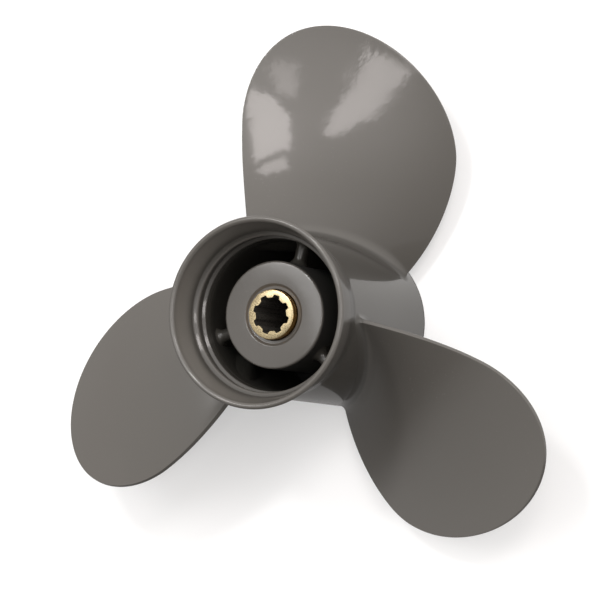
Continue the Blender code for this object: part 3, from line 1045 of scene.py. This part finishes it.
class PROPELLER_OT_studio(bpy.types.Operator):
    """Lay the floor and set the lights and the camera"""

    bl_idname = "propeller.studio"
    bl_label = "Studio"

    def execute(self, context):
        scene = context.scene
        studio = scene.propeller_studio
        self.add_floor(scene.propeller_colours, scene.propeller_barrel.front_radius)
        self.add_sky(scene, studio)
        self.add_lights(studio)
        self.add_camera(scene, studio)
        scene.view_settings.view_transform = "Standard"
        return {"FINISHED"}

    def add_floor(self, colours, covered_radius):
        """A plain square under the front rim, and a dark disc of painted shade where the barrel covers it."""
        clearance = 0.0001
        work = bmesh.new()
        move = Matrix.Translation((0.0, 0.0, FRONT_Z - 2 * clearance))
        bmesh.ops.create_grid(work, x_segments=1, y_segments=1, size=3.0, matrix=move)
        floor = stage_prop("floor", work, floor_material("pale_floor", colours.floor, colours.glow))
        floor.visible_diffuse = False
        floor.visible_glossy = False
        work = bmesh.new()
        move = Matrix.Translation((0.0, 0.0, FRONT_Z - clearance))
        bmesh.ops.create_circle(work, cap_ends=True, radius=covered_radius, segments=96, matrix=move)
        # Painted shade: a black disc under the barrel, where the floor would lie in the barrel's shade.
        stage_prop("painted_shade_floor", work, floor_material("painted_shade_floor", (0.01, 0.01, 0.01)))

    def add_lights(self, studio):
        """The panes round blade 1 and the two softboxes over the boss."""
        blade = (0.0, 0.085, 0.005)
        boss = (0.0, 0.0, BOSS_HIGH.z)
        # The last value says whether a pane lights matt surfaces too
        for name, corners, brightness, matt_too in (
            ("window_upper", WINDOW_UPPER, studio.window * 0.55, True),
            ("window_middle", WINDOW_MIDDLE, studio.window, True),
            ("window_lower", WINDOW_LOWER, studio.window * 0.8, True),
            ("strip", STRIP, studio.strip, True),
            ("edge_light", EDGE_LIGHT, studio.edge, False),
            ("smear", SMEAR, studio.edge * 0.12, False),
        ):
            add_pane(name, corners, brightness, studio.pane_tint, blade, matt_too)
        add_softbox("overhead", OVERHEAD, 25.0, studio.overhead, boss)
        add_softbox("key", KEY, 6.0, studio.key, boss)

    def add_sky(self, scene, studio):
        """Soft light from all round, blended across the horizon; the camera sees a plain pale backdrop."""
        world = bpy.data.worlds.new("studio")
        world.use_nodes = True
        tree = world.node_tree
        direction = tree.nodes.new("ShaderNodeTexCoord").outputs["Generated"]
        separate = tree.nodes.new("ShaderNodeSeparateXYZ")
        tree.links.new(direction, separate.inputs[0])
        split = separate.outputs
        above = brightness_above(tree, direction, split, studio)
        below = brightness_below(tree, direction, split, studio)
        height = map_range(tree, split["Z"], -0.25, 0.0)
        level = maths(tree, "MULTIPLY_ADD", height, maths(tree, "SUBTRACT", above, below), below)
        room = tree.nodes.new("ShaderNodeBackground")
        feed(tree, room.inputs["Strength"], level)
        feed(tree, room.inputs["Color"], studio.room_tint)
        backdrop = tree.nodes["Background"]
        feed(tree, backdrop.inputs["Color"], (1.0, 1.0, 1.0))
        mix = tree.nodes.new("ShaderNodeMixShader")
        tree.links.new(tree.nodes.new("ShaderNodeLightPath").outputs["Is Camera Ray"], mix.inputs["Fac"])
        tree.links.new(room.outputs[0], mix.inputs[1])
        tree.links.new(backdrop.outputs[0], mix.inputs[2])
        tree.links.new(mix.outputs[0], tree.nodes["World Output"].inputs["Surface"])
        scene.world = world

    def add_camera(self, scene, studio):
        """The camera, placed by its tilt off the propeller's axis, its bearing and its roll."""
        back = Vector((
            math.sin(studio.tilt) * math.cos(studio.bearing),
            math.sin(studio.tilt) * math.sin(studio.bearing),
            math.cos(studio.tilt),
        ))
        level = Vector((0.0, 0.0, 1.0)).cross(back).normalized()
        rise = back.cross(level)
        up = rise * math.cos(studio.roll) - level * math.sin(studio.roll)
        right = up.cross(back)
        data = bpy.data.cameras.new("camera")
        data.lens = studio.lens
        data.sensor_width = 36.0
        data.clip_start = 0.05
        data.clip_end = 20.0
        camera = bpy.data.objects.new("camera", data)
        scene.collection.objects.link(camera)
        turn = Matrix((right, up, back)).transposed().to_4x4()
        camera.matrix_world = Matrix.Translation(Vector(studio.aim) + back * studio.distance) @ turn
        scene.camera = camera


class PROPELLER_PT_panel(bpy.types.Panel):
    """The sidebar panel with every step and its sizes"""

    bl_idname = "PROPELLER_PT_panel"
    bl_label = "Outboard Propeller"
    bl_space_type = "VIEW_3D"
    bl_region_type = "UI"
    bl_category = "Propeller"

    def draw(self, context):
        for title, name, settings, operators in SECTIONS:
            box = self.layout.box()
            box.label(text=title)
            for setting in settings.__annotations__:
                box.prop(getattr(context.scene, name), setting)
            for operator in operators:
                box.operator(operator.bl_idname)


SECTIONS = (
    ("Barrel", "propeller_barrel", BarrelSizes, (PROPELLER_OT_barrel,)),
    ("Blades", "propeller_blades", BladeSizes, (PROPELLER_OT_blades,)),
    ("Hub", "propeller_hub", HubSizes, (PROPELLER_OT_boss, PROPELLER_OT_bush, PROPELLER_OT_sleeve)),
    ("Finishes", "propeller_colours", FinishColours, ()),
    ("Studio", "propeller_studio", StudioSettings, (PROPELLER_OT_studio,)),
)


def register():
    for title, name, settings, operators in SECTIONS:
        bpy.utils.register_class(settings)
        setattr(bpy.types.Scene, name, PointerProperty(type=settings))
        for operator in operators:
            bpy.utils.register_class(operator)
    bpy.utils.register_class(PROPELLER_PT_panel)


def unregister():
    bpy.utils.unregister_class(PROPELLER_PT_panel)
    for title, name, settings, operators in reversed(SECTIONS):
        for operator in operators:
            bpy.utils.unregister_class(operator)
        delattr(bpy.types.Scene, name)
        bpy.utils.unregister_class(settings)


def main():
    """Build everything in order."""
    register()
    bpy.ops.propeller.barrel()
    bpy.ops.propeller.blades()
    bpy.ops.propeller.boss()
    bpy.ops.propeller.bush()
    bpy.ops.propeller.sleeve()
    bpy.ops.propeller.studio()


if __name__ == "__main__":
    main()
